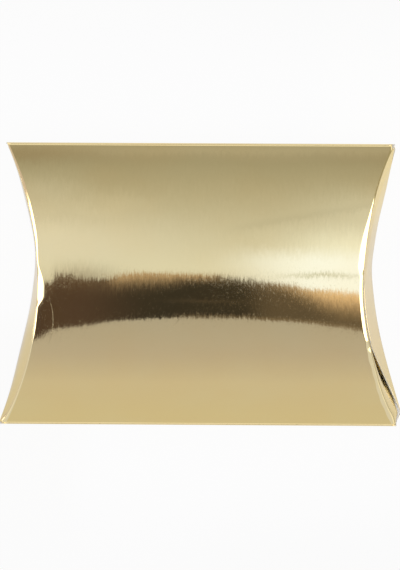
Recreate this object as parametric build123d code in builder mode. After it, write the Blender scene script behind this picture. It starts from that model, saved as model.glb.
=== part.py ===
from build123d import *
import math
import os

os.makedirs("parts", exist_ok=True)

# Frame: the box lies on its back face. X runs along the two straight folds, Y runs across the
# box from the glued seam to the spine fold, and +Z points up through the front face. The origin
# is on the surface that the box lies on, under the middle of the box.

# Driving dimensions, in millimetres
box_length = 115.4
box_width = 85.0
box_thickness = 16.5
right_front_crease_depth = 9.5
left_front_crease_depth = 9.5
crease_apex_shift = 2.0

# The sheet: white board with a metallised film laminated to its outer face
board_thickness = 0.35
film_thickness = 0.05
fold_radius = 0.5

# The end flaps
crease_gap = 0.5
flap_clearance = 0.25
flap_tip_relief = 3.0
free_edge_drop = 0.3
inner_flap_reach = 10.2

# The glued seam
tab_width = 12.0
tab_end_relief = 11.0
tab_taper = 4.0
glue_thickness = 0.1
glue_slack = 0.01
glue_width = 7.0
glue_end_relief = 19.0
glue_inset = 2.5

# Every cut and every trimmed blank runs past the piece by this much
overrun = 5.0

# Sizes worked out from those above
sheet_thickness = board_thickness + film_thickness
half_length = box_length / 2
half_width = box_width / 2
fold_height = box_thickness / 2
trim_run = half_length + box_thickness + overrun

# Section of the tube: two arcs of one radius, joined tangentially by the round of the spine fold
panel_radius = ((half_width - fold_radius) ** 2 + fold_height**2 - fold_radius**2) / (
    2 * (fold_height - fold_radius)
)
front_centre = (0, box_thickness - panel_radius)
back_centre = (0, panel_radius)
centre_distance = panel_radius - fold_height

spine_centre = (half_width - fold_radius, fold_height)
spine_angle = math.degrees(math.asin(spine_centre[0] / (panel_radius - fold_radius)))

# At the seam the round joins the front face to the tab, which lies inside the back face
tab_radius = panel_radius - sheet_thickness - glue_thickness
seam_rise = ((panel_radius - fold_radius) ** 2 - (tab_radius - fold_radius) ** 2) / (
    4 * centre_distance
)
seam_reach = math.sqrt((panel_radius - fold_radius) ** 2 - (centre_distance + seam_rise) ** 2)
seam_centre = (-seam_reach, fold_height + seam_rise)
seam_front_angle = math.degrees(math.asin(seam_reach / (panel_radius - fold_radius)))
seam_back_angle = math.degrees(math.asin(seam_reach / (tab_radius - fold_radius)))


class End:
    """One end of the box: a hollow curved wall that leans a little, so that both of its flaps
    lie parallel when the curved creases of the front and the back have their own depths."""

    def __init__(self, side, front_depth):
        back_depth = fold_height**2 / front_depth
        self.side = side
        self.depth = (front_depth + back_depth) / 2
        self.lean = (front_depth - back_depth) / box_thickness
        self.radius = (half_width**2 + self.depth**2) / (2 * self.depth)
        self.inner_radius = self.radius + sheet_thickness + flap_clearance
        apex = Vector(side * (half_length - self.depth), crease_apex_shift, fold_height)
        towards_wall = Vector(-side, 0, -self.lean).normalized()
        self.plane = Plane(
            origin=apex - towards_wall * self.radius,
            x_dir=towards_wall,
            z_dir=(side * self.lean, 0, -1),
        )


right_end = End(1, right_front_crease_depth)
left_end = End(-1, left_front_crease_depth)


def curved_band(plane, centre, outer_radius, inner_radius, start_angle, end_angle):
    """Section of a curved sheet between two radii, from one angle to another."""
    with BuildSketch(plane) as section:
        with BuildLine():
            outer_arc = CenterArc(centre, outer_radius, start_angle, end_angle - start_angle)
            inner_arc = CenterArc(centre, inner_radius, start_angle, end_angle - start_angle)
            Line(outer_arc @ 0, inner_arc @ 0)
            Line(outer_arc @ 1, inner_arc @ 1)
        make_face()
    return section.sketch


def layers(outer_radius, inwards=-1):
    """The two layers of the sheet, film and board, as pairs of radii from its outer face."""
    film_inside = outer_radius + inwards * film_thickness
    board_inside = outer_radius + inwards * sheet_thickness
    return {"_film": (outer_radius, film_inside), "": (film_inside, board_inside)}


def wall_strip(centre, radii, start_angle, end_angle, right_radius, left_radius):
    """A length of the tube's wall, cut to the hollow curve of each end."""
    section = curved_band(Plane.YZ, centre, *radii, start_angle, end_angle)
    with BuildPart() as strip:
        extrude(section, amount=trim_run, both=True)
        for end, cut_radius in ((right_end, right_radius), (left_end, left_radius)):
            with Locations(end.plane.location):
                Cylinder(cut_radius, box_width, mode=Mode.SUBTRACT)
    return strip.part


def finish(part, name):
    """Names a finished piece and writes it out."""
    part.label = name
    export_step(part, f"parts/{name}.step")


# Front and back panels. The panel that carries an end's outer flap reaches to the outer curve,
# and the one that carries the inner flap stops one sheet and a clearance short of it.
for suffix, radii in layers(panel_radius).items():
    front_panel = wall_strip(
        front_centre,
        radii,
        90 - spine_angle,
        90 + seam_front_angle,
        right_end.inner_radius,
        left_end.radius,
    )
    finish(front_panel, f"front_panel{suffix}")
    back_panel = wall_strip(
        back_centre,
        radii,
        270 - seam_back_angle,
        270 + spine_angle,
        right_end.radius,
        left_end.inner_radius,
    )
    finish(back_panel, f"back_panel{suffix}")

# The rounds of the spine fold and of the seam fold
for suffix, radii in layers(fold_radius).items():
    spine_fold = wall_strip(
        spine_centre,
        radii,
        spine_angle - 90,
        90 - spine_angle,
        right_end.inner_radius,
        left_end.inner_radius,
    )
    finish(spine_fold, f"spine_fold{suffix}")
    seam_fold = wall_strip(
        seam_centre,
        radii,
        90 + seam_front_angle,
        270 - seam_back_angle,
        right_end.inner_radius,
        left_end.inner_radius,
    )
    finish(seam_fold, f"seam_fold{suffix}")

# The glue tab runs on from the seam fold along the inside of the back panel. Its ends are cut
# back and tapered, so that they stay clear of the end flaps.
tab_start_angle = 270 - seam_back_angle
tab_end_angle = tab_start_angle + math.degrees(tab_width / tab_radius)
tab_half_length = half_length - tab_end_relief
for suffix, radii in layers(tab_radius).items():
    section = curved_band(Plane.YZ, back_centre, *radii, tab_start_angle, tab_end_angle)
    with BuildPart() as glue_tab:
        extrude(section, amount=trim_run, both=True)
        with BuildSketch(Plane.XY):
            with BuildLine():
                Polyline(
                    (-tab_half_length, -half_width),
                    (tab_half_length, -half_width),
                    (tab_half_length - tab_taper, tab_width - half_width),
                    (tab_half_length - tab_taper, 0),
                    (tab_taper - tab_half_length, 0),
                    (tab_taper - tab_half_length, tab_width - half_width),
                    close=True,
                )
            make_face()
        extrude(amount=box_thickness, mode=Mode.INTERSECT)
    finish(glue_tab.part, f"glue_tab{suffix}")

# The line of glue between the tab and the inside of the back panel, a hair short of both sheets
glue_start_angle = tab_start_angle + math.degrees(glue_inset / tab_radius)
glue_section = curved_band(
    Plane.YZ,
    back_centre,
    panel_radius - sheet_thickness - glue_slack,
    tab_radius + glue_slack,
    glue_start_angle,
    glue_start_angle + math.degrees(glue_width / tab_radius),
)
with BuildPart() as glue_line:
    extrude(glue_section, amount=half_length - glue_end_relief, both=True)
finish(glue_line.part, "glue_line")


def flap(end, radii, hinge_centre, free_centre, free_radius):
    """One layer of an end flap: a strip of the hollow end wall, from the crease that it hangs
    on to its free edge, with its two tips cut back."""
    half_angle = math.degrees(math.asin((half_width + overrun) / end.radius))
    section = curved_band(end.plane, (0, 0), *radii, -half_angle, half_angle)
    with BuildPart() as strip:
        extrude(section, amount=box_thickness, both=True)
        with BuildSketch(Plane.YZ):
            with Locations((0, fold_height)):
                Rectangle(box_width - 2 * flap_tip_relief, box_thickness)
            with Locations(hinge_centre):
                Circle(panel_radius - sheet_thickness - crease_gap, mode=Mode.INTERSECT)
            with Locations(free_centre):
                Circle(free_radius, mode=Mode.INTERSECT)
        extrude(amount=trim_run, both=True, mode=Mode.INTERSECT)
    return strip.part


# The free edge of an outer flap follows the opposite crease, just inside the opposite face. The
# free edge of an inner flap bows a little past the level of the folds.
outer_free_radius = panel_radius - free_edge_drop
inner_free_bow = inner_flap_reach - fold_height
inner_free_radius = (half_width**2 + inner_free_bow**2) / (2 * inner_free_bow)
from_front_centre = (0, fold_height - inner_free_bow + inner_free_radius)
from_back_centre = (0, fold_height + inner_free_bow - inner_free_radius)

# Right end: the outer flap hangs on the back panel and the inner flap on the front panel
for suffix, radii in layers(right_end.radius, inwards=1).items():
    right_outer = flap(right_end, radii, back_centre, front_centre, outer_free_radius)
    finish(right_outer, f"right_outer_flap{suffix}")
for suffix, radii in layers(right_end.inner_radius, inwards=1).items():
    right_inner = flap(right_end, radii, front_centre, from_front_centre, inner_free_radius)
    finish(right_inner, f"right_inner_flap{suffix}")

# Left end: the outer flap hangs on the front panel and the inner flap on the back panel
for suffix, radii in layers(left_end.radius, inwards=1).items():
    left_outer = flap(left_end, radii, front_centre, back_centre, outer_free_radius)
    finish(left_outer, f"left_outer_flap{suffix}")
for suffix, radii in layers(left_end.inner_radius, inwards=1).items():
    left_inner = flap(left_end, radii, back_centre, from_back_centre, inner_free_radius)
    finish(left_inner, f"left_inner_flap{suffix}")
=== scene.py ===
# %% [markdown]
# A pillow box of pale gold mirror board. The whole box is one sheet: white board with a
# metallised film laminated to its outside, scored, folded, glued along one side and closed at both
# ends by curved flaps. The lesson dresses a finished construction: its pieces, sizes and hinges are
# fixed, and what is added here is how the sheet looks, so the first step is to load it.

# %% Load the construction
import math

import bmesh
import bpy
from mathutils import Matrix, Vector


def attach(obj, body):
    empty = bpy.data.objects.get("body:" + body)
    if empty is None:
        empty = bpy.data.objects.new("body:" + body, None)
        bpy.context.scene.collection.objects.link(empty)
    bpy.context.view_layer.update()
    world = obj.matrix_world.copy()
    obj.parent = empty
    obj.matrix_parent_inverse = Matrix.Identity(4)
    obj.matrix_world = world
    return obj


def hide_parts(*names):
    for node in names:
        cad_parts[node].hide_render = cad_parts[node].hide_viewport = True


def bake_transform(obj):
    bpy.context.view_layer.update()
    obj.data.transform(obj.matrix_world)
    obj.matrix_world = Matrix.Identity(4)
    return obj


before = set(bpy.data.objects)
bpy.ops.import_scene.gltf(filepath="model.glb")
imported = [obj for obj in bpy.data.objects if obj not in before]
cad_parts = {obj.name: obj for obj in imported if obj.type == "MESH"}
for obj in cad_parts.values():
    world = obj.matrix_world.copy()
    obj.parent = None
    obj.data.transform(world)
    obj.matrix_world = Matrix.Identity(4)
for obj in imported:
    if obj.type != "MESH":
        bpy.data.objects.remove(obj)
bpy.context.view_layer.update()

mm = 0.001

# %% [markdown]
# The sizes are those of the construction. The box lies on its back face: X runs along the two
# straight folds, Y from the glued seam to the spine fold, Z up through the front face. A pillow
# box is easy to describe: both faces are arcs of one radius, and each end is a hollow curve.

# %% Sizes of the box
box_length = 115.4 * mm
box_width = 85.0 * mm
box_thickness = 16.5 * mm
front_crease_depth = 9.5 * mm
crease_apex_shift = 2.0 * mm
board_thickness = 0.35 * mm
film_thickness = 0.05 * mm
fold_radius = 0.5 * mm
flap_clearance = 0.25 * mm
flap_tip_relief = 1.3 * mm
inner_flap_reach = 10.2 * mm
glue_thickness = 0.1 * mm

sheet_thickness = board_thickness + film_thickness
inner_inset = sheet_thickness + flap_clearance
half_length = box_length / 2
half_width = box_width / 2
fold_height = box_thickness / 2
round_reach = half_width - fold_radius
panel_radius = (round_reach**2 + fold_height**2 - fold_radius**2) / (2 * (fold_height - fold_radius))
print("bowed faces, radius in mm:", round(panel_radius / mm, 2))

# %% [markdown]
# In section the box is a lens. The spine fold rounds one tip of it. At the other tip the front
# face turns into the glue tab, which lies just inside the back face, so that round sits a little
# off the middle. Both rounds touch their arcs without a kink, which fixes their angles.

# %% Section of the tube
spine_y, spine_z = round_reach, fold_height
spine_angle = math.asin(spine_y / (panel_radius - fold_radius))

tab_radius = panel_radius - sheet_thickness - glue_thickness
seam_rise = ((panel_radius - fold_radius) ** 2 - (tab_radius - fold_radius) ** 2) / (
    4 * (panel_radius - fold_height))
seam_reach = math.sqrt((panel_radius - fold_radius) ** 2 - (panel_radius - fold_height + seam_rise) ** 2)
seam_y, seam_z = -seam_reach, fold_height + seam_rise
seam_front_angle = math.asin(seam_reach / (panel_radius - fold_radius))
seam_back_angle = math.asin(seam_reach / (tab_radius - fold_radius))


def front_height(y):
    """Height of the front face's outer side."""
    return box_thickness - panel_radius + math.sqrt(panel_radius**2 - y**2)


def back_height(y):
    """Height of the back face's outer side."""
    return panel_radius - math.sqrt(panel_radius**2 - y**2)


print("folds at y, mm:", round((spine_y + fold_radius) / mm, 2), round((seam_y - fold_radius) / mm, 2))

# %% [markdown]
# Each end wall is part of a cylinder that leans a little. A real flap is springy board: it doesn't
# keep to that cylinder, but bulges and flares towards its tips. Numbers can't tell a soft bulge,
# so it is a smooth hump: one function for a bell, one for a gentle step.


# %% Soft shapes
def smooth_step(low, high, value):
    """0 below low, 1 above high, with an even slope between them."""
    share = min(1.0, max(0.0, (value - low) / (high - low)))
    return share * share * (3 - 2 * share)


def bell(centre, spread, value):
    """A hump that is 1 at its centre."""
    return math.exp(-(((value - centre) / spread) ** 2))


print("a gentle step, half way up:", smooth_step(0, 1, 0.5), "and a bell at its centre:", bell(0, 1, 0))


# %% [markdown]
# An end knows where its wall is. How far its springy board strays from the true cylinder is given
# at the front crease and at the back crease, and changes evenly between the two, because board
# bends in one direction at a time.

# %% Ends of the box
class End:
    """One hollow end: where its wall stands, and how far its springy flaps stray from it."""

    def __init__(self, name, side, stray):
        back_depth = fold_height**2 / front_crease_depth
        self.name = name
        self.side = side
        self.stray = stray
        self.depth = (front_crease_depth + back_depth) / 2
        self.lean = (front_crease_depth - back_depth) / box_thickness
        self.stretch = math.sqrt(1 + self.lean**2)
        self.radius = (half_width**2 + self.depth**2) / (2 * self.depth)

    def wall(self, y, z, inset=0.0):
        """x of the wall's outer side, or of a wall that stands further in by inset."""
        sagitta = self.radius - math.sqrt((self.radius + inset) ** 2 - (y - crease_apex_shift) ** 2)
        straight = half_length - self.depth - self.lean * (z - fold_height)
        low, high = back_height(y), front_height(y)
        rise = min(1.0, max(0.0, (z - low) / max(mm, high - low)))
        at_back, at_front, bulge = self.stray(y)
        strayed = at_back + (at_front - at_back) * rise + bulge * math.sin(math.pi * rise)
        return self.side * (straight + self.stretch * sagitta + strayed)


def left_stray(y):
    """At the back crease: a flare to the seam and two hollows. At the front one: a slight hollow."""
    at_back = (1.15 * mm * smooth_step(4 * mm, 26 * mm, -y) - 1.55 * mm * bell(9 * mm, 14 * mm, y)
               - 0.35 * mm * bell(33 * mm, 10 * mm, y))
    return at_back, -0.7 * mm * bell(14 * mm, 30 * mm, y), 0.8 * mm * smooth_step(-2 * mm, 14 * mm, -y)


def right_stray(y):
    """At the back crease: a flare to the seam. At the front one: a shift in. Both: a cut corner."""
    at_back = (2.0 * mm * smooth_step(0, 36 * mm, -y) - 2.9 * mm * smooth_step(37.5 * mm, 42 * mm, -y)
               + 0.9 * mm * bell(28 * mm, 11 * mm, y) - 0.45 * mm * bell(4 * mm, 6 * mm, y))
    at_front = (0.45 * mm * bell(-22 * mm, 8 * mm, y) - 0.75 * mm - 0.25 * mm * bell(0, 7 * mm, y)
                - 0.25 * mm * bell(33 * mm, 10 * mm, y))
    corner = 0.8 * mm * smooth_step(40.6 * mm, 42.4 * mm, y)
    return at_back - corner, at_front - corner, 0.15 * mm * bell(0, 22 * mm, y)


left_end = End("left", -1, left_stray)
right_end = End("right", 1, right_stray)
for end in (left_end, right_end):
    print(end.name, "wall at the middle, mm:", round(end.wall(0, box_thickness) / mm, 2))

# %% [markdown]
# Shader maths reads best as plain arithmetic. This small class wraps a node's output, and each
# operator on it adds the Math node that does the sum. Every other node comes from one method.


# %% Shader arithmetic
class Wire:
    """An output socket that can be added, scaled and compared."""

    def __init__(self, graph, socket):
        self.graph = graph
        self.socket = socket

    def maths(self, operation, *values):
        inputs = dict(enumerate(values))
        return self.graph.node("ShaderNodeMath", {"operation": operation}, inputs)

    def __add__(self, other):
        return self.maths("ADD", self, other)

    def __sub__(self, other):
        return self.maths("SUBTRACT", self, other)

    def __rsub__(self, other):
        return self.maths("SUBTRACT", other, self)

    def __mul__(self, other):
        return self.maths("MULTIPLY", self, other)

    def __truediv__(self, other):
        return self.maths("DIVIDE", self, other)

    def __pow__(self, other):
        return self.maths("POWER", self, other)

    def __neg__(self):
        return self.maths("MULTIPLY", self, -1.0)

    def exponent(self):
        return self.maths("EXPONENT", self, 0.0)

    def size(self):
        return self.maths("ABSOLUTE", self, 0.0)

    __radd__ = __add__
    __rmul__ = __mul__


print("wires can be added, subtracted, multiplied, divided, raised to a power and negated")

# %% [markdown]
# The nodes of a material hang together in a graph. Its helpers are those that every finish here
# needs: a mix of two colours, a smooth step, a round hump, noise and the place of a point in mm.


# %% Graph of nodes
class Graph:
    """The nodes of one material or world."""

    def __init__(self, owner):
        owner.use_nodes = True
        self.tree = owner.node_tree
        self.tree.nodes.clear()

    def node(self, kind, settings=None, inputs=None, out=0):
        made = self.tree.nodes.new(kind)
        for name, value in (settings or {}).items():
            if name == "stops":
                for place in range(len(value) - 2):
                    made.color_ramp.elements.new(0.5)
                for element, (position, colour) in zip(made.color_ramp.elements, value):
                    element.position = position
                    element.color = (*colour, 1.0)
            else:
                setattr(made, name, value)
        for name, value in (inputs or {}).items():
            if isinstance(value, Wire):
                self.tree.links.new(value.socket, made.inputs[name])
            else:
                made.inputs[name].default_value = value
        return Wire(self, made.outputs[out]) if len(made.outputs) else None

    def mix(self, share, first, second):
        return self.node("ShaderNodeMix", {"data_type": "RGBA"}, {0: share, 6: first, 7: second}, 2)

    def step(self, low, high, value):
        """0 where value is low, 1 where it is high, with a smooth slope between."""
        turned = low > high
        if turned:
            low, high = high, low
        ends = (1.0, 0.0) if turned else (0.0, 1.0)
        return self.node(
            "ShaderNodeMapRange",
            {"interpolation_type": "SMOOTHSTEP"},
            {"Value": value, "From Min": low, "From Max": high, "To Min": ends[0], "To Max": ends[1]},
        )

    def lump(self, x, y, centre, spread):
        """A round hump on the plane of x and y, 1 at its centre."""
        across = (x - centre[0]) / spread[0]
        along = (y - centre[1]) / spread[1]
        return (-(across * across + along * along)).exponent()

    def vector(self, operation, first, second):
        return self.node("ShaderNodeVectorMath", {"operation": operation}, {0: first, 1: second})

    def noise(self, vector, scale, detail=2.0, roughness=0.5):
        inputs = {"Vector": vector, "Scale": scale, "Detail": detail, "Roughness": roughness}
        return self.node("ShaderNodeTexNoise", {}, inputs, "Fac")

    def place(self, scale=(1.0, 1.0, 1.0), location=(0.0, 0.0, 0.0)):
        """Object coordinates in millimetres, stretched and moved by a Mapping node."""
        point = self.node("ShaderNodeTexCoord", {}, {}, "Object")
        per_mm = tuple(s / mm for s in scale)
        return self.node("ShaderNodeMapping", {}, {"Vector": point, "Scale": per_mm, "Location": location})

    def axes(self, vector):
        split = self.node("ShaderNodeSeparateXYZ", {}, {0: vector}, 0)
        return [Wire(self, split.socket.node.outputs[i]) for i in range(3)]


def opaque(rgb):
    return (*rgb, 1.0)


print("graph helpers:", [name for name in vars(Graph) if not name.startswith("__")])


# %% [markdown]
# The metallised film is the star of the picture. It is a mirror with a faint grain: the film is
# drawn out as it is made, so it is a little uneven from one thread of it to the next. Each thread
# tilts the mirror by a hair, and where a dark reflection meets a light one the edge frays into
# short hairs. The grain is a noise squeezed along X that tilts the normal along Y only. A Bump
# node would tilt it the other way too, and smear the reflection sideways.

# %% Gold film
foil_gold = (0.95, 0.785, 0.42)
foil_warm = (0.95, 0.765, 0.395)
thread_tilt, sag_tilt = 0.032, 0.02
thread_grain, speck_grain, grit_grain = (1.9, 0.36, 0.36), (1.9, 1.5, 1.5), (2.2, 1.3, 1.3)
sag_grain, cloud_grain = (0.05, 0.07, 0.07), (0.035, 0.05, 0.05)
speck_depth = 0.003 * mm
smooth_below, smooth_from = -10.0, -5.0
foil_gloss, cloud_gloss, speck_gloss, grit_gloss, mark_gloss = 0.03, 0.02, 0.02, 0.09, 0.16


def make_gold_film(name, handled):
    material = bpy.data.materials.new(name)
    graph = Graph(material)
    thread = graph.noise(graph.place(thread_grain), 1.0, 2.0, 0.6)
    speck = graph.noise(graph.place(speck_grain, (3.0, 8.0, 1.0)), 1.0, 2.0)
    sag = graph.noise(graph.place(sag_grain, (5.0, 2.0, 0.0)), 1.0, 2.0)
    cloud = graph.noise(graph.place(cloud_grain, (1.7, 0.4, 0.0)), 1.0, 3.0)
    x, y, z = graph.axes(graph.place())
    smoother = 1 - 0.5 * graph.step(smooth_from, smooth_below, y)
    tilt = (thread - 0.5) * thread_tilt * smoother + (sag - 0.5) * sag_tilt
    aside = graph.node("ShaderNodeCombineXYZ", {}, {"X": 0.0, "Y": tilt, "Z": 0.0})
    flat = graph.node("ShaderNodeNewGeometry", {}, {}, "Normal")
    grained = graph.vector("NORMALIZE", graph.vector("ADD", flat, aside), (0.0, 0.0, 0.0))
    bump = graph.node(
        "ShaderNodeBump", {},
        {"Strength": 0.5, "Distance": speck_depth, "Height": speck, "Normal": grained}, "Normal")
    colour = graph.mix(graph.step(0.35, 0.7, cloud), opaque(foil_gold), opaque(foil_warm))
    grit = graph.noise(graph.place(grit_grain, (9.0, 2.0, 0.0)), 1.0, 2.0, 0.6)
    gloss = foil_gloss + cloud_gloss * graph.step(0.4, 0.75, cloud) + speck_gloss * speck
    gloss = gloss + grit_gloss * graph.step(0.5, 0.8, grit)
    if handled:
        gloss = gloss + handling_marks(graph) * mark_gloss
    shader = graph.node(
        "ShaderNodeBsdfPrincipled", {},
        {"Base Color": colour, "Metallic": 1.0, "Roughness": gloss, "Normal": bump})
    graph.node("ShaderNodeOutputMaterial", {}, {"Surface": shader})
    return material


# %% [markdown]
# The front face has been handled: there is a curved hair scratch in the middle, a crescent where
# the board was dented beside the left crease, and a few short scuffs next to it. Each mark is a
# distance from a circle, kept to a short stretch of it, and it only roughens the mirror.

# %% Handling marks
scratch_ring, crescent_ring = ((17.0, -26.0), 29.3, 0.16), ((-62.8, -8.7), 19.7, 0.2)
scratch_stretch, crescent_stretch = ((-8.0, -11.4), (4.5, 5.5)), ((-43.5, -9.9), (4.0, 8.5))
scuffed_spot = ((-42.0, 0.5), (4.0, 3.0))


def handling_marks(graph):
    """Rings are a centre, a radius and a width in mm, and stretches a centre and a spread."""
    x, y, z = graph.axes(graph.place())

    def ring(centre, radius, width):
        across, along = x - centre[0], y - centre[1]
        distance = ((across * across + along * along) ** 0.5 - radius).size()
        return graph.step(width, width * 0.3, distance)

    waver = graph.noise(graph.place((1.5, 1.5, 1.5)), 1.0, 2.0)
    scratch = ring(*scratch_ring) * graph.lump(x, y, *scratch_stretch)
    crescent = ring(*crescent_ring) * graph.lump(x, y, *crescent_stretch)
    scuffs = graph.noise(graph.place((1.6, 0.5, 0.5), (2.0, 0.0, 0.0)), 1.0, 4.0, 0.7)
    scuffed = graph.step(0.56, 0.66, scuffs) * graph.lump(x, y, *scuffed_spot)
    return (scratch * 1.4 + crescent + scuffed * 0.5) * graph.step(0.3, 0.6, waver)


gold_film = make_gold_film("gold_film", handled=False)
handled_film = make_gold_film("handled_gold_film", handled=True)
print("gold film nodes:", len(gold_film.node_tree.nodes), "with marks:", len(handled_film.node_tree.nodes))

# %% [markdown]
# Under the film is plain white board. It shows along every cut edge and inside the box. Pressed
# fibre is matt, with a fine tooth and a slow change between warmer and cooler white.

# %% White board
board_white = (0.87, 0.86, 0.83)
board_warm = (0.82, 0.80, 0.75)
fibre_depth = 0.02 * mm


def make_white_board():
    material = bpy.data.materials.new("white_board")
    graph = Graph(material)
    fibre = graph.noise(graph.place((3.0, 5.0, 5.0)), 1.0, 4.0, 0.65)
    blotch = graph.noise(graph.place((0.15, 0.15, 0.15)), 1.0, 3.0)
    bump = graph.node(
        "ShaderNodeBump", {}, {"Strength": 0.5, "Distance": fibre_depth, "Height": fibre}, "Normal")
    warmth = graph.step(0.35, 0.7, blotch * 0.6 + fibre * 0.4)
    colour = graph.mix(warmth, opaque(board_white), opaque(board_warm))
    shader = graph.node(
        "ShaderNodeBsdfPrincipled", {},
        {"Base Color": colour, "Roughness": 0.75 + 0.15 * fibre, "Normal": bump, "Specular IOR Level": 0.3})
    graph.node("ShaderNodeOutputMaterial", {}, {"Surface": shader})
    return material


white_board = make_white_board()
print("white board nodes:", len(white_board.node_tree.nodes))

# %% [markdown]
# The line of glue between tab and back face is a thin, slightly yellow film. It is hidden until
# the box is taken apart, and still gets its own finish.

# %% Glue
glue_amber = (0.86, 0.80, 0.62)
glue_clear = (0.90, 0.87, 0.76)
ripple_depth = 0.03 * mm


def make_glue():
    material = bpy.data.materials.new("glue")
    graph = Graph(material)
    ripple = graph.noise(graph.place((0.8, 1.6, 1.6)), 1.0, 3.0)
    bump = graph.node(
        "ShaderNodeBump", {}, {"Strength": 0.6, "Distance": ripple_depth, "Height": ripple}, "Normal")
    colour = graph.mix(ripple, opaque(glue_amber), opaque(glue_clear))
    shader = graph.node(
        "ShaderNodeBsdfPrincipled", {},
        {"Base Color": colour, "Roughness": 0.3 + 0.2 * ripple, "Normal": bump})
    graph.node("ShaderNodeOutputMaterial", {}, {"Surface": shader})
    return material


glue = make_glue()
print("glue nodes:", len(glue.node_tree.nodes))

# %% [markdown]
# Every piece of the box is the same sheet, so one helper makes them all. It starts from a flat
# grid, as the blank is flat, sends each point to its place on the folded box, and makes two
# objects of it: the film, and the board a film's thickness further in. Solidify gives each its
# wall. A grid keeps the rows along the rulings of the sheet, so mirror reflections run true.


# %% Sheet of film and board
def sheet_grid(columns, rows, place, outward):
    """A grid whose every point is sent to place(column share, row share), facing outward."""
    mesh = bmesh.new()
    bmesh.ops.create_grid(mesh, x_segments=columns, y_segments=rows, size=1.0)
    for point in mesh.verts:
        point.co = place((point.co.x + 1) / 2, (point.co.y + 1) / 2)
    mesh.normal_update()
    total = sum((face.normal for face in mesh.faces), Vector())
    if total.dot(Vector(outward)) < 0:
        bmesh.ops.reverse_faces(mesh, faces=mesh.faces)
        mesh.normal_update()
    return mesh


def finish_layer(mesh, name, material, thickness, nodes):
    """Turns one layer into an object with a wall, and hides the nodes that it stands for."""
    data = bpy.data.meshes.new(name)
    mesh.to_mesh(data)
    data.shade_smooth()
    data.materials.append(material)
    piece = bpy.data.objects.new(name, data)
    bpy.context.scene.collection.objects.link(piece)
    wall = piece.modifiers.new("wall", "SOLIDIFY")
    wall.thickness = thickness
    wall.offset = -1.0
    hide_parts(*nodes)
    return piece


def make_sheet(name, columns, rows, place, outward, foil):
    """Both layers of one stretch of the sheet, named after the nodes that they stand for."""
    mesh = sheet_grid(columns, rows, place, outward)
    film = finish_layer(mesh, name + "_gold", foil, film_thickness, [name + "_film"])
    for point in mesh.verts:
        point.co -= point.normal * film_thickness
    board = finish_layer(mesh, name + "_board", white_board, board_thickness, [name])
    mesh.free()
    print(name, "faces per layer:", len(film.data.polygons))
    return film, board


# %% [markdown]
# At a curved crease the sheet rolls over into the flap. The roll is tight, but a hand has pressed
# it soft in places: the round grows there, and a mirror shows that at once as a white glint. So
# the radius of the roll is a function of where along the crease it is.

# %% Rolls along the creases
crease_roll = 0.4 * mm


def left_front_roll(y):
    """Pressed soft above the middle, and wide at the dent."""
    pressed = smooth_step(8 * mm, 18 * mm, y) * smooth_step(-42 * mm, -30 * mm, -y)
    dent = smooth_step(-5.2 * mm, -1.4 * mm, y) * smooth_step(-8.8 * mm, -1.4 * mm, -y)
    return crease_roll + 0.5 * mm * pressed + 1.8 * mm * dent


def right_front_roll(y):
    """Pressed soft above the middle, and a little ragged towards the seam."""
    pressed = smooth_step(4.5 * mm, 8 * mm, y) * smooth_step(-28 * mm, -12 * mm, -y)
    waves = math.sin(y / (0.7 * mm)) + math.sin(y / (1.9 * mm))
    ragged = 0.09 * mm * waves * smooth_step(8 * mm, 16 * mm, -y)
    soft = 0.6 * mm * smooth_step(-22 * mm, -8 * mm, -y) + 0.3 * mm * smooth_step(13 * mm, 20 * mm, -y)
    return crease_roll + soft + 1.2 * mm * pressed + ragged


def roll_drop(size):
    """How deep a roll goes down. A wide one is flatter than a quarter of a circle."""
    flattest = 0.45 * mm
    return crease_roll + flattest * (1 - math.exp((crease_roll - size) / flattest))


def plain_roll(y):
    return crease_roll


print("rolls at the middle, mm:", round(left_front_roll(0) / mm, 2), round(right_front_roll(0) / mm, 2))


# %% [markdown]
# A face of the box is one arc across and straight along, with a roll at both ends. The grid's
# outer columns make the rolls and the rest divide the face between them. The front face has also
# been dented a little beside the left crease, where the roll is widest.

# %% Front and back faces
roll_columns = 8
face_columns = 150
face_rows = 190
quarter_turn = math.pi / 2
covered_inset = sheet_thickness + 0.05 * mm
edge_crowding = 0.72
dent_depth, groove_depth = 0.12 * mm, 0.03 * mm


def front_dent(x, y):
    """How far the front face is pressed in, beside the left crease and along the right one."""
    inward = x - left_end.wall(y, front_height(y))
    beside = max(0.0, 1 - inward / (5.2 * mm)) ** 2
    groove_inward = right_end.wall(y, front_height(y)) - x
    groove = bell(1.5 * mm, 0.35 * mm, groove_inward) * smooth_step(17 * mm, 22 * mm, -y)
    dented = dent_depth * beside * bell(0.5 * mm, 8 * mm, y)
    return dented + groove_depth * groove * smooth_step(-38 * mm, -30 * mm, y)


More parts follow.
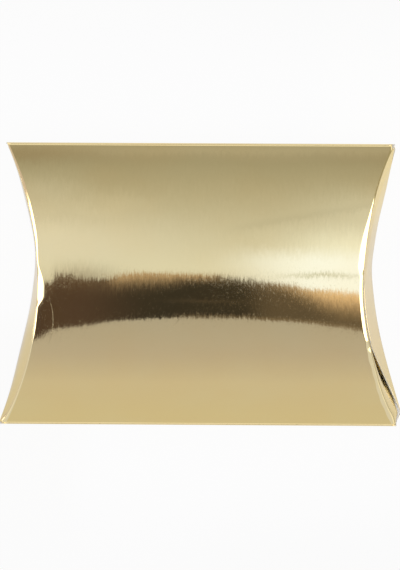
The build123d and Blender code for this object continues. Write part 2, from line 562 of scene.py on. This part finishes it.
def face_place(height, facing, low_angle, high_angle, rolls, dent, insets=(0.0, 0.0)):
    """Where the points of one bowed face go: facing is 1 for the front and -1 for the back."""
    columns = face_columns + 2 * roll_columns

    def place(along, across):
        angle = low_angle + (high_angle - low_angle) * across
        y = panel_radius * math.sin(angle)
        z = height(y)
        edges = [
            end.wall(y, z, inset) - end.side * roll(y)
            for end, roll, inset in zip((left_end, right_end), rolls, insets)]
        column = round(along * columns)
        for end, edge, roll, turn in (
            (left_end, edges[0], rolls[0], 1 - column / roll_columns),
            (right_end, edges[1], rolls[1], (column - face_columns - roll_columns) / roll_columns),
        ):
            if turn > 0:
                size = roll(y)
                drop = roll_drop(size) * (1 - math.cos(turn * quarter_turn))
                rolled = end.side * size * math.sin(turn * quarter_turn)
                reach = rolled + end.wall(y, z - facing * drop) - end.wall(y, z)
                return Vector((edge + reach, y, z - facing * (drop + dent(edge, y) * (1 - turn))))
        share = (column - roll_columns) / face_columns
        share -= edge_crowding * math.sin(2 * math.pi * share) / (2 * math.pi)
        x = edges[0] + (edges[1] - edges[0]) * share
        return Vector((x, y, z - facing * dent(x, y)))

    return place


def no_dent(x, y):
    return 0.0


front_place = face_place(
    front_height, 1, -seam_front_angle, spine_angle, (left_front_roll, right_front_roll), front_dent)
back_place = face_place(
    back_height, -1, -seam_back_angle, spine_angle, (plain_roll, plain_roll), no_dent, (covered_inset, 0.0))
columns = face_columns + 2 * roll_columns
front = make_sheet("front_panel", columns, face_rows, front_place, (0, 0, 1), handled_film)
back = make_sheet("back_panel", columns, face_rows, back_place, (0, 0, -1), gold_film)
for piece in (*front, *back):
    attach(piece, "tube")

# %% [markdown]
# The two straight folds are small rounds. They show as fine lines along the top and the bottom of
# the picture, so each gets enough rows to bend a reflection smoothly.

# %% Straight folds
fold_columns = 120
fold_rows = 12


def fold_place(centre_y, centre_z, start, stop):
    def place(along, across):
        angle = start + (stop - start) * across
        y = centre_y + fold_radius * math.cos(angle)
        z = centre_z + fold_radius * math.sin(angle)
        ends = [end.wall(y, z) for end in (left_end, right_end)]
        return Vector((ends[0] + (ends[1] - ends[0]) * along, y, z))

    return place


spine_place = fold_place(spine_y, spine_z, spine_angle - quarter_turn, quarter_turn - spine_angle)
seam_place = fold_place(
    seam_y, seam_z, quarter_turn + seam_front_angle, 3 * quarter_turn - seam_back_angle)
for name, place, outward in (("spine_fold", spine_place, (0, 1, 0)), ("seam_fold", seam_place, (0, -1, 0))):
    for piece in make_sheet(name, fold_columns, fold_rows, place, outward, gold_film):
        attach(piece, "tube")

# %% [markdown] A flap is a strip of the end wall, from just past its crease to its free edge.

# %% End flaps
flap_columns = 130
flap_rows = 30
seat_gap = 0.04 * mm
tuck_depth = 0.25 * mm
tuck_gap = 0.5 * mm
parted_gap = 0.9 * mm
cover_drop = 0.12 * mm
least_reach, reach_past_slit, jog_run = 0.8 * mm, 0.7 * mm, 0.8 * mm
gape_start, gape_run, gape_slope, widest_gape = 17.5 * mm, 19 * mm, 0.9, 0.95
parted_from, parted_to = -1 * mm, -6 * mm
inner_bow = inner_flap_reach - fold_height
inner_edge_radius = (half_width**2 + inner_bow**2) / (2 * inner_bow)
tip_y = half_width - flap_tip_relief


def bowed_past(y):
    """How far an inner flap's free edge reaches past the level of the folds."""
    return inner_bow - inner_edge_radius + math.sqrt(inner_edge_radius**2 - y**2)


def no_gape(y):
    return 0.0


def right_gape(y):
    """The share of its height by which the right outer flap is drawn back towards the seam."""
    return min(widest_gape, gape_slope * max(0.0, (-y - gape_start) / gape_run))


print("right outer flap, share drawn back at y -30 mm:", round(right_gape(-30 * mm), 2))

# %% [markdown]
# One function makes all four flaps. An outer flap is tucked under the roll of the face that it
# meets, or covers it at the left end. The right outer flap shows a slit at the lower corner: real
# board would bend away there, and here its free edge is drawn back, which looks the same while the
# box is closed. An inner flap lies behind its outer one and shows a sliver in that slit.


# %% Hanging a flap
def hang_flap(end, body, on_front, outer, roll, other_roll, gape=no_gape, tips=(-tip_y, tip_y)):
    """Makes one flap where it stands in the closed box."""
    facing = 1 if on_front else -1
    own, other = (front_height, back_height) if on_front else (back_height, front_height)
    covers = outer and end is left_end

    def foot(y):
        return own(y) - facing * (roll_drop(roll(y)) + seat_gap)

    def parted(y):
        """1 where the right outer flap lies lower under the crease, beyond the middle."""
        return smooth_step(parted_to, parted_from, -y) if outer and end is right_end else 0.0

    def outer_edge(y, hinged_on, met, way):
        met_roll = other_roll(y) if outer else roll(y)
        tucked = met(y) + way * (roll_drop(met_roll) + tuck_gap + parted_gap * parted(y))
        return tucked + way * gape(y) * (abs(hinged_on(y) - tucked) - crease_roll - seat_gap)

    def edge(y):
        if covers:
            return other(y) + facing * cover_drop
        if outer:
            return outer_edge(y, own, other, facing)
        covered = fold_height - facing * bowed_past(y)
        if gape(y) > 0:
            slit = facing * outer_edge(y, other, own, -facing) - reach_past_slit
            covered = facing * min(facing * covered, slit)
        return facing * max(facing * covered, facing * (other(y) + facing * least_reach))

    def inset(y, z):
        from_foot, from_edge = abs(z - foot(y)), abs(z - edge(y))
        if covers:
            return 0.0
        if outer:
            return tuck_depth * (1 - 1.3 * parted(y)) * smooth_step(-4 * mm, 0, -from_edge)
        if end is left_end:
            return covered_inset + (inner_inset - covered_inset) * smooth_step(0, 3 * mm, from_foot)
        jog = jog_run + gape(y) * abs(own(y) - other(y))
        jogged = (inner_inset + tuck_depth) * smooth_step(0, jog, from_foot)
        return jogged - tuck_depth * smooth_step(3 * mm, 8 * mm, from_foot)

    def place(along, across):
        y = tips[0] + (tips[1] - tips[0]) * along
        z = foot(y) + (edge(y) - foot(y)) * across
        return Vector((end.wall(y, z, inset(y, z)), y, z))

    layers = make_sheet(body, flap_columns, flap_rows, place, (end.side, 0, 0), gold_film)
    hinge = Vector((end.wall(0, own(0)), 0, own(0)))
    crease_depth = abs(end.wall(half_width, fold_height) - hinge.x)
    square = Vector((-end.side * fold_height, 0, -facing * crease_depth)).normalized()
    travel = abs(other(0) - own(0)) * abs(square.z)
    for piece in layers:
        hinge + square * travel
        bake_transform(piece)


# %% [markdown]
# The right end's flaps have their own tips, because the box's corners there aren't alike.

# %% The four flaps
outer_tips, inner_tips = (-38.8 * mm, 41.3 * mm), (-tip_y, 40.8 * mm)
hang_flap(right_end, "right_outer_flap", False, True, plain_roll, right_front_roll, right_gape, outer_tips)
hang_flap(right_end, "right_inner_flap", True, False, right_front_roll, plain_roll, right_gape, inner_tips)
hang_flap(left_end, "left_outer_flap", True, True, left_front_roll, plain_roll)
hang_flap(left_end, "left_inner_flap", False, False, plain_roll, left_front_roll)

# %% [markdown]
# The tab and the glue are flat work that only shows when the flaps are open. Their solids already
# have the right shape, so they stay and only get their finishes.

# %% Tab and glue
for name, material in (("glue_tab", white_board), ("glue_tab_film", gold_film), ("glue_line", glue)):
    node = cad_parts[name]
    node.data.materials.clear()
    node.data.materials.append(material)
print("finished in place: glue_tab, glue_tab_film, glue_line")

# %% [markdown]
# The box lies on a pale floor, a sheet of white paper with a darker table around it. Beside the box, where
# the flaps mirror it, the paper carries a patch of painted shade at the lower left, which stands for the
# box's contact shadow, and a patch of painted light at the upper right. The camera sees it as white, and so
# does glass. A mirror sees half of that white, and the rest is paper that the lamps light, so the box's own
# soft shadow stays on it and in the foil's reflection of it.

# %% Floor
floor_size = 6.0
floor_white = (0.70, 0.68, 0.70)
floor_tooth = (0.67, 0.65, 0.68)
# painted shade beside the box's lower left and painted light beside its upper right, both for the flaps to
# mirror
floor_painted_shade, floor_painted_light = (0.49, 0.44, 0.37), (0.84, 0.82, 0.74)
floor_left, floor_right = (0.42, 0.38, 0.40), (0.24, 0.21, 0.18)
seen_white, mirrored_white, white_through = 0.95, 0.5, 0.94


def make_paper():
    material = bpy.data.materials.new("paper_floor")
    graph = Graph(material)
    tooth = graph.noise(graph.place((0.6, 0.6, 0.6)), 1.0, 3.0)
    x, y, z = graph.axes(graph.place())
    near = graph.step(105.0, 66.0, x.size()) * graph.step(95.0, 55.0, y.size())
    far = graph.mix(graph.step(-20.0, 20.0, x), opaque(floor_left), opaque(floor_right))
    paper_tone = graph.mix(tooth, opaque(floor_white), opaque(floor_tooth))
    # painted shade: a darker patch for the box's contact shadow, beside its lower left
    painted_shade_patch = graph.step(-30.0, -44.0, x) * graph.step(-9.0, -17.0, y)
    paper_tone = graph.mix(painted_shade_patch, paper_tone, opaque(floor_painted_shade))
    # painted light: a lighter patch beside the box's upper right, for the right flap to mirror
    pale = graph.step(30.0, 44.0, x) * graph.step(10.0, 24.0, y)
    paper_tone = graph.mix(pale, paper_tone, opaque(floor_painted_light))
    colour = graph.mix(near, far, paper_tone)
    lit = graph.node("ShaderNodeBsdfPrincipled", {}, {"Base Color": colour, "Roughness": 0.9})
    white = graph.node("ShaderNodeEmission", {}, {"Color": opaque((1.0, 1.0, 1.0)), "Strength": 1.0})
    seen = graph.node("ShaderNodeLightPath", {}, {}, "Is Camera Ray")
    shiny = graph.node("ShaderNodeLightPath", {}, {}, "Is Glossy Ray")
    through = graph.node("ShaderNodeLightPath", {}, {}, "Is Transmission Ray")
    share = seen * seen_white + shiny * mirrored_white + through * white_through
    both = graph.node("ShaderNodeMixShader", {}, {0: share, 1: lit, 2: white})
    graph.node("ShaderNodeOutputMaterial", {}, {"Surface": both})
    return material


floor_mesh = bmesh.new()
bmesh.ops.create_grid(floor_mesh, x_segments=1, y_segments=1, size=floor_size / 2)
floor_data = bpy.data.meshes.new("floor")
floor_mesh.to_mesh(floor_data)
floor_mesh.free()
floor_data.materials.append(make_paper())
floor = bpy.data.objects.new("floor", floor_data)
bpy.context.scene.collection.objects.link(floor)
print("floor, m across:", floor_size)

# %% [markdown]
# A mirror shows what hangs over it, so a photographer lights one with big cards. This one carries
# a soft grey gradient, a dark stripe with a copper rim, and softer fields beside it. Its tones were
# tried and set until the foil showed the tones of the picture. It is hidden from the camera and
# from matt surfaces, so that only the foil finds it. Distances on it are in millimetres: x runs
# along the box and y across it. A field is a centre and a spread.

# %% Tones of the card
card_height = 0.45
card_reach = 0.7
ramp_start, ramp_end = -650.0, 350.0
card_grey = [
    (-600, (0.64, 0.62, 0.56)),
    (-400, (0.62, 0.60, 0.59)),
    (-280, (0.51, 0.49, 0.53)),
    (-170, (0.45, 0.45, 0.50)),
    (-30, (0.76, 0.81, 0.91)),
    (125, (0.54, 0.55, 0.56)),
    (200, (0.44, 0.44, 0.42)),
    (255, (0.385, 0.385, 0.36)),
    (272, (0.395, 0.39, 0.37)),
    (292, (0.45, 0.445, 0.43)),
    (330, (0.385, 0.38, 0.36)),
]
stripe_dark, stripe_brown = (0.038, 0.034, 0.031), (0.078, 0.053, 0.047)
stripe_soft, stripe_copper = (0.110, 0.090, 0.074), (0.82, 0.63, 0.49)
glow_cool, glow_cream, glow_white = (0.80, 0.87, 1.08), (1.00, 1.13, 1.42), (1.03, 1.21, 1.75)
leaf_shade, streak_shade = (0.52, 0.57, 0.55), (0.2, 0.2, 0.18)
ray_pale, corner_warm = (1.0, 1.05, 1.2), (0.31, 0.275, 0.225)
side_white, side_soft = (3.2, 3.2, 3.2), (0.72, 0.75, 0.87)
side_lilac, side_olive = (0.64, 0.58, 0.66), (0.36, 0.35, 0.29)
print("card tones:", len(card_grey), "stops along y, from", ramp_start, "to", ramp_end, "mm")

# %% [markdown]
# The stripe is what draws the dark band across the face. Its two edges are curves of x with a
# little waver, and its colour turns from near black to copper at its upper rim.

# %% Stripe of the card


def card_stripe(graph, x, y, colour):
    """The dark stripe: straight above, bowed below, with a copper rim left of the middle and right."""
    flat = y * 0.0
    waver = graph.noise(graph.place((0.03, 0.012, 0.012), (4.0, 0.0, 0.0)), 1.0, 3.0) - 0.5
    from_middle = x + 12.0
    sunk = 7.0 * graph.lump(x, flat, (-14.0, 0.0), (30.0, 1.0))
    sunk = sunk + 4.0 * graph.step(-14.0, -28.0, x) + 7.5 * graph.step(-40.0, -60.0, x)
    sunk = sunk + 22.0 * graph.step(-66.0, -75.0, x)
    low_edge = -160.0 - 0.0098 * from_middle * from_middle - sunk + 4.0 * waver
    raised = 17.0 * graph.step(-36.0, -46.0, x) - 14.0 * graph.lump(x, flat, (-60.5, 0.0), (6.0, 1.0))
    raised = raised + 12.0 * graph.step(-65.0, -73.0, x) + 5.0 * graph.lump(x, flat, (7.5, 0.0), (6.5, 1.0))
    high_edge = -43.0 - 54.0 * graph.step(-20.0, 58.0, x) - raised + 5.0 * waver
    inside = graph.step(-3.0, 3.0, y - low_edge) * graph.step(-7.0, 7.0, high_edge - y)
    inside = inside * graph.step(105.0, 90.0, x.size())
    depth = graph.node("ShaderNodeMath", {"operation": "MAXIMUM"}, {0: high_edge - y, 1: 0.0})
    reach = 28.0 - 14.0 * graph.step(-30.0, -8.0, x) + 32.0 * graph.step(20.0, 48.0, x)
    fade = (-(depth * depth / (reach * reach))).exponent()
    left_rim = 0.5 * graph.step(-46.0, -38.0, x) * graph.step(3.0, -10.0, x)
    rim = 0.06 + left_rim + 0.95 * graph.step(10.0, 44.0, x)
    dark = graph.mix(graph.step(-24.0, -60.0, x), opaque(stripe_dark), opaque(stripe_brown))
    dark = graph.mix(graph.step(6.0, 18.0, x), dark, opaque(stripe_soft))
    smudge = graph.lump(x, y, (-6.0, -118.0), (13.0, 4.0)) * 0.05
    foot = graph.step(13.0, 3.0, y - low_edge) * graph.step(-26.0, -8.0, x) * 0.1
    dark = graph.mix(rim * fade + smudge + foot, dark, opaque(stripe_copper))
    return graph.mix(inside, colour, dark)


# %% [markdown]
# The rest of the card is quieter: lighter fields above the stripe, a dark leaf between cream and
# white at the right, a thin slanting shadow, pale rays, a brown haze by the dent and warm corners.

# %% Fields of the card
left_field, far_left_field = ((-68.0, 35.0), (42.0, 75.0)), ((-76.0, 160.0), (20.0, 50.0))
far_right_field, leaf_field = ((58.0, 110.0), (24.0, 55.0)), ((37.0, -44.0), (15.0, 5.0))
ray_field, haze_field = ((-50.0, 90.0), (30.0, 90.0)), ((-54.0, -46.0), (12.0, 24.0))
left_corner, right_corner = ((-85.0, 285.0), (35.0, 32.0)), ((72.0, 270.0), (30.0, 28.0))


def card_glow(graph, x, y, colour):
    """Lighter fields: a cool one left, a cream one right, and a white one by the stripe."""
    left = graph.lump(x, y, *left_field)
    colour = graph.mix(left * 0.7, colour, opaque(glow_cool))
    far_left = graph.lump(x, y, *far_left_field)
    colour = graph.mix(far_left * 0.18, colour, opaque(glow_cool))
    above = graph.step(-130.0, -115.0, y)
    cream = graph.step(5.0, 52.0, x) * graph.step(105.0, 10.0, y) * above * 0.85
    colour = graph.mix(cream, colour, opaque(glow_cream))
    far_right = graph.lump(x, y, *far_right_field)
    colour = graph.mix(far_right * 0.28, colour, opaque(glow_cream))
    white = graph.step(-10.0, 38.0, x) * graph.step(32.0, -18.0, y) * above
    colour = graph.mix(white, colour, opaque(glow_white))
    leaf = graph.lump(x, y + 0.55 * (x - leaf_field[0][0]).size(), *leaf_field)
    return graph.mix(leaf * 0.85, colour, opaque(leaf_shade))


def card_streaks(graph, x, y, colour):
    """A thin shadow that rises to the right, a haze and pale rays at the left, and warm corners."""
    shadow = graph.lump(x * 0.0, y - 66.0 - 1.2 * x, (0.0, 0.0), (1.0, 9.0)) * graph.step(-5.0, 15.0, x)
    rays = graph.noise(graph.place((0.06, 0.012, 0.012), (0.0, 3.0, 0.0)), 1.0, 2.0)
    rays = graph.step(0.52, 0.68, rays) * graph.lump(x, y, *ray_field)
    corner = graph.lump(x, y, *left_corner) + 0.35 * graph.lump(x, y, *right_corner)
    colour = graph.mix(shadow * 0.12, colour, opaque(streak_shade))
    haze = graph.lump(x, y, *haze_field)
    colour = graph.mix(haze * 0.38, colour, opaque(stripe_brown))
    colour = graph.mix(rays * 0.12, colour, opaque(ray_pale))
    return graph.mix(corner * 0.75, colour, opaque(corner_warm))


named_fields = (left_field, far_left_field, far_right_field, leaf_field, ray_field, haze_field)
print("named fields at x, mm:", [field[0][0] for field in named_fields])

# %% [markdown]
# Beyond its middle the card is bright beside the box, which is what the rolls of the curved creases
# mirror as white lines. Two upright cards go on with it down to the floor. All three are plain
# grids that give off light, and matt surfaces and the camera don't see them.


# %% Cards
def card_side(graph, x, white_share, soft_share):
    """Beyond the card's middle: white beside the box, and dimmer towards its two straight folds."""
    far = graph.mix(graph.step(-100.0, 100.0, x), opaque(side_lilac), opaque(side_olive))
    near = graph.mix(soft_share, opaque(side_white), opaque(side_soft))
    return graph.mix(white_share, far, near)


def make_card():
    material = bpy.data.materials.new("gradient_card")
    graph = Graph(material)
    x, y, z = graph.axes(graph.place())
    stops = [((place - ramp_start) / (ramp_end - ramp_start), grey) for place, grey in card_grey]
    along = (y - ramp_start) / (ramp_end - ramp_start)
    colour = graph.node("ShaderNodeValToRGB", {"stops": stops}, {"Fac": along}, "Color")
    colour = card_glow(graph, x, y, colour)
    colour = card_streaks(graph, x, y, colour)
    colour = card_stripe(graph, x, y, colour)
    outward = x.size()
    white_share = graph.step(177.0, 147.0, y + 0.265 * outward + 0.01 * x)
    beside = card_side(graph, x, white_share, graph.step(-195.0, -225.0, y))
    colour = graph.mix(graph.step(112.0, 138.0, outward), colour, beside)
    shader = graph.node("ShaderNodeEmission", {}, {"Color": colour, "Strength": 1.0})
    graph.node("ShaderNodeOutputMaterial", {}, {"Surface": shader})
    return material


def hang_card(name, material, turn, place, size):
    """An upright or level card that only mirrors see."""
    mesh = bmesh.new()
    bmesh.ops.create_grid(mesh, x_segments=1, y_segments=1, size=0.5)
    bmesh.ops.scale(mesh, verts=mesh.verts, vec=(*size, 1.0))
    bmesh.ops.rotate(mesh, verts=mesh.verts, matrix=Matrix.Rotation(turn, 3, "Y"))
    bmesh.ops.translate(mesh, verts=mesh.verts, vec=place)
    data = bpy.data.meshes.new(name)
    mesh.to_mesh(data)
    mesh.free()
    data.materials.append(material)
    hung = bpy.data.objects.new(name, data)
    bpy.context.scene.collection.objects.link(hung)
    hung.visible_camera = False
    hung.visible_diffuse = False
    hung.visible_shadow = False


def make_side_card():
    material = bpy.data.materials.new("side_card")
    graph = Graph(material)
    x, y, z = graph.axes(graph.place())
    white = graph.step(8.0, -8.0, y + 132.0 + 0.0115 * x - 0.22 * z) * graph.step(110.0, 150.0, z)
    colour = card_side(graph, x, white, graph.step(8.0, -8.0, y + 95.0 + 0.26 * z))
    shader = graph.node("ShaderNodeEmission", {}, {"Color": colour, "Strength": 1.0})
    graph.node("ShaderNodeOutputMaterial", {}, {"Surface": shader})
    return material


hang_card("gradient_card", make_card(), 0.0, (0, 0, card_height), (2 * card_reach, 2 * card_reach))
side_card = make_side_card()
side_depth, side_middle = 0.40, -0.085
for name, side in (("left_card", -1), ("right_card", 1)):
    place = (side * card_reach, side_middle, card_height / 2)
    hang_card(name, side_card, quarter_turn, place, (card_height, side_depth))
print("cards hung at, m:", card_height, "above and", card_reach, "beside")

# %% [markdown]
# The room around is white to the camera, and to mirrors and glass as well, so that the foil shows
# the same background. Matt surfaces are lit by a softer room, pale overhead and dimmer towards
# the horizon. Two soft lamps at the sides light the board and the floor.

# %% World and lamps
room_pale, room_dim = (0.85, 0.85, 0.87), (0.38, 0.37, 0.36)
world = bpy.data.worlds.new("studio")
bpy.context.scene.world = world
sky = Graph(world)
direction = sky.axes(sky.node("ShaderNodeTexCoord", {}, {}, "Generated"))
shade = sky.mix(sky.step(0.45, 0.9, direction[2]), opaque(room_dim), opaque(room_pale))
room = sky.node("ShaderNodeBackground", {}, {"Color": shade, "Strength": 1.0})
white_room = sky.node("ShaderNodeBackground", {}, {"Color": opaque((1.0, 1.0, 1.0)), "Strength": 1.0})
seen = sky.node("ShaderNodeLightPath", {}, {}, "Is Camera Ray")
shiny = sky.node("ShaderNodeLightPath", {}, {}, "Is Glossy Ray")
through = sky.node("ShaderNodeLightPath", {}, {}, "Is Transmission Ray")
both_rooms = sky.node("ShaderNodeMixShader", {}, {0: seen + shiny + through, 1: room, 2: white_room})
sky.node("ShaderNodeOutputWorld", {}, {"Surface": both_rooms})

lamp_width, lamp_height = 0.35, 0.9
lamp_reach, lamp_rise = 0.9, 0.55
left_level, right_level = 1.4, 2.2


def add_lamp(name, place, aim, level):
    data = bpy.data.lights.new(name, "AREA")
    data.shape = "RECTANGLE"
    data.size = lamp_width
    data.size_y = lamp_height
    data.energy = level * math.pi * lamp_width * lamp_height
    lamp = bpy.data.objects.new(name, data)
    lamp.location = place
    lamp.rotation_mode = "QUATERNION"
    lamp.rotation_quaternion = (Vector(aim) - Vector(place)).to_track_quat("-Z", "Y")
    lamp.visible_camera = False
    lamp.visible_glossy = False
    bpy.context.scene.collection.objects.link(lamp)


add_lamp("left_lamp", (-lamp_reach, 0.0, lamp_rise), (0, 0, 0), left_level)
add_lamp("right_lamp", (lamp_reach, 0.0, lamp_rise), (0, 0, 0), right_level)
print("lamps at levels", left_level, right_level)

# %% [markdown]
# The camera looks down on the box from a little past its spine, through a long lens, so the two
# straight folds stay almost parallel. Its distance and scale are those that put the box's edges
# where the picture has them.

# %% Camera
frame_pixels_high = 570
pixel_size = 0.293 * mm
camera_distance = 1.5
camera_pitch = math.radians(12.0)
camera_yaw = math.radians(1.2)
camera_roll = math.radians(0.06)
aim_right_pixels, aim_down_pixels = 1.25, 1.0

backward = Vector((
    math.sin(camera_yaw),
    math.sin(camera_pitch) * math.cos(camera_yaw),
    math.cos(camera_pitch) * math.cos(camera_yaw),
))
across = Vector((0, 1, 0)).cross(backward).normalized()
upward = backward.cross(across)
right = across * math.cos(camera_roll) + upward * math.sin(camera_roll)
up = upward * math.cos(camera_roll) - across * math.sin(camera_roll)
middle = Vector((0, 0, fold_height))
target = middle - right * aim_right_pixels * pixel_size + up * aim_down_pixels * pixel_size

camera_data = bpy.data.cameras.new("camera")
camera_data.sensor_width = 36.0
camera_data.lens = camera_data.sensor_width * camera_distance / (frame_pixels_high * pixel_size)
camera_data.clip_start, camera_data.clip_end = 0.05, 20.0
camera = bpy.data.objects.new("camera", camera_data)
camera.rotation_mode = "QUATERNION"
camera.location = target + backward * camera_distance
turn = bpy.data.objects.new("turn", None).matrix_world.to_3x3()
turn.col[0], turn.col[1], turn.col[2] = right, up, backward
camera.rotation_quaternion = turn.to_quaternion()
bpy.context.scene.collection.objects.link(camera)
bpy.context.scene.camera = camera
bpy.context.scene.view_settings.view_transform = "Standard"
print("lens, mm:", round(camera_data.lens, 1))

# %% [markdown]
